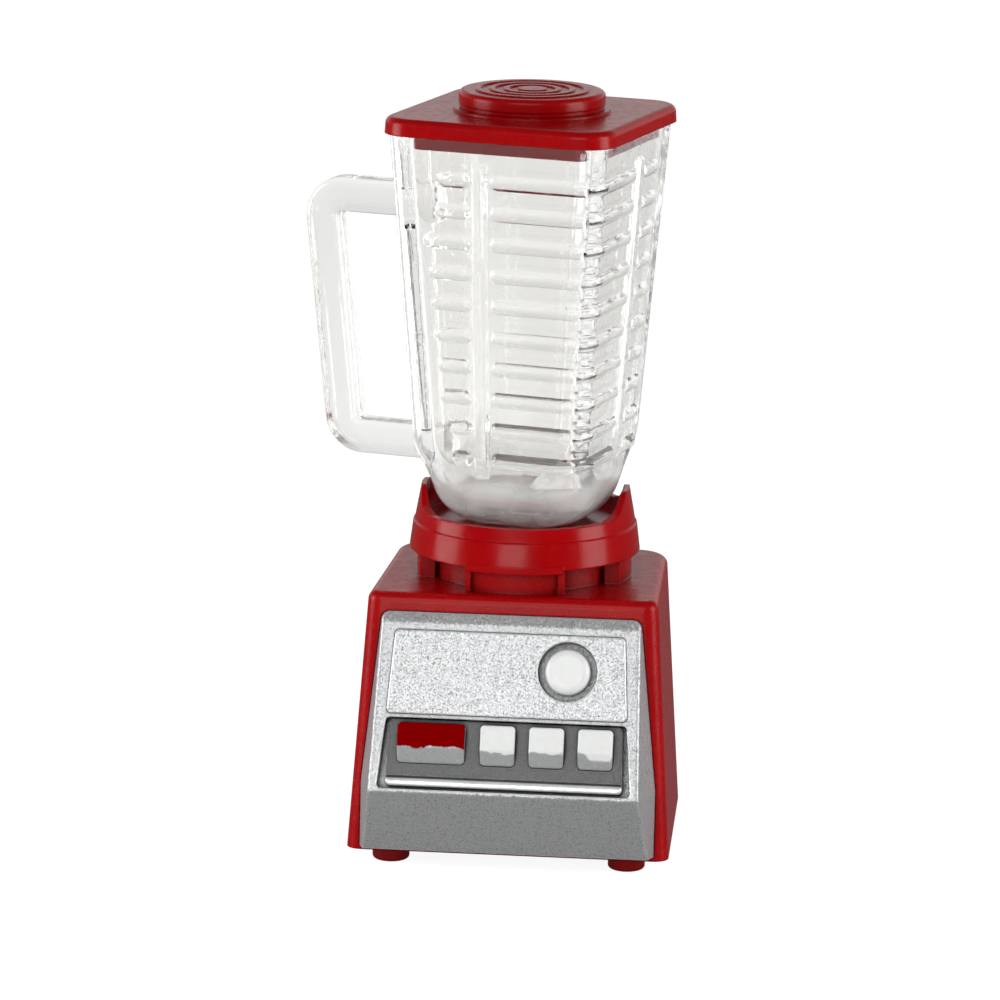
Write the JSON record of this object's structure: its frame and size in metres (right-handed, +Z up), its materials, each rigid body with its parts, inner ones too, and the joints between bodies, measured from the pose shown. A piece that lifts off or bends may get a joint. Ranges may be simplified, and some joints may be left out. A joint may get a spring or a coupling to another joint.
{
  "type": "toy blender",
  "caption": "Doll-size toy blender: wedge base with silver key panel, lift-off collar, square clear jar with loop handle, lift-off lid with round filler cap.",
  "frame": {"origin": "on the table, under the axis that the collar, jar and filler cap share", "axes": "+Z up; -Y is the front, where the key panel is; +X is to the right as seen from the front"},
  "size_m": [0.0348, 0.0291, 0.0678],
  "materials": {
    "red_gloss": "glossy",
    "silver_paint": "silver paint with a fine metallic grain",
    "label_silver": "bright silver paint, grainy",
    "white_plastic": "satin",
    "dark_plastic": "matte",
    "screw_steel": "plain",
    "rubber": "matt",
    "clear_plastic": "clear moulded plastic"
  },
  "bodies": {
    "base": {"housing": "red_gloss", "bottom_cover": "dark_plastic", "foot_front_left": "red_gloss", "foot_front_right": "red_gloss", "foot_rear_left": "red_gloss", "foot_rear_right": "red_gloss", "cover_screws": "screw_steel", "bezel": "silver_paint", "bezel_screws": "screw_steel", "label_plate": "label_silver", "panel_disc": "white_plastic", "key_tray": "silver_paint", "key_carrier": "dark_plastic", "carrier_screws": "screw_steel", "stop_key_sleeve": "rubber", "speed_key_1_sleeve": "rubber", "speed_key_2_sleeve": "rubber", "speed_key_3_sleeve": "rubber"},
    "stop_button": {"stop_key": "silver_paint"},
    "speed_button_1": {"speed_key_1": "white_plastic"},
    "speed_button_2": {"speed_key_2": "white_plastic"},
    "speed_button_3": {"speed_key_3": "white_plastic"},
    "collar_ring": {"collar": "red_gloss"},
    "pitcher": {"jar": "clear_plastic"},
    "jar_cover": {"lid": "red_gloss"},
    "stopper": {"fill_cap": "red_gloss"}
  },
  "joints": [
    {"name": "stop_key_press", "type": "slide", "parent": "base", "child": "stop_button", "axis": [0, 0.9399, -0.3416], "range_m": [0, 0.0005], "stiffness_N_per_m": 200, "springref_m": -0.0005, "deforming": ["stop_key_sleeve"]},
    {"name": "speed_key_1_press", "type": "slide", "parent": "base", "child": "speed_button_1", "axis": [0, 0.9399, -0.3416], "range_m": [0, 0.0005], "stiffness_N_per_m": 200, "springref_m": -0.0005, "deforming": ["speed_key_1_sleeve"]},
    {"name": "speed_key_2_press", "type": "slide", "parent": "base", "child": "speed_button_2", "axis": [0, 0.9399, -0.3416], "range_m": [0, 0.0005], "stiffness_N_per_m": 200, "springref_m": -0.0005, "deforming": ["speed_key_2_sleeve"]},
    {"name": "speed_key_3_press", "type": "slide", "parent": "base", "child": "speed_button_3", "axis": [0, 0.9399, -0.3416], "range_m": [0, 0.0005], "stiffness_N_per_m": 200, "springref_m": -0.0005, "deforming": ["speed_key_3_sleeve"]},
    {"name": "collar_lift", "type": "slide", "parent": "base", "child": "collar_ring", "axis": [0, 0, 1], "range_m": [0, 0.006]},
    {"name": "jar_turn", "type": "hinge", "parent": "collar_ring", "child": "pitcher", "pos_m": [0, 0, 0.02915], "axis": [0, 0, 1], "continuous": true},
    {"name": "lid_lift", "type": "slide", "parent": "pitcher", "child": "jar_cover", "axis": [0, 0, 1], "range_m": [0, 0.006]},
    {"name": "fill_cap_lift", "type": "slide", "parent": "jar_cover", "child": "stopper", "axis": [0, 0, 1], "range_m": [0, 0.006]}
  ]
}
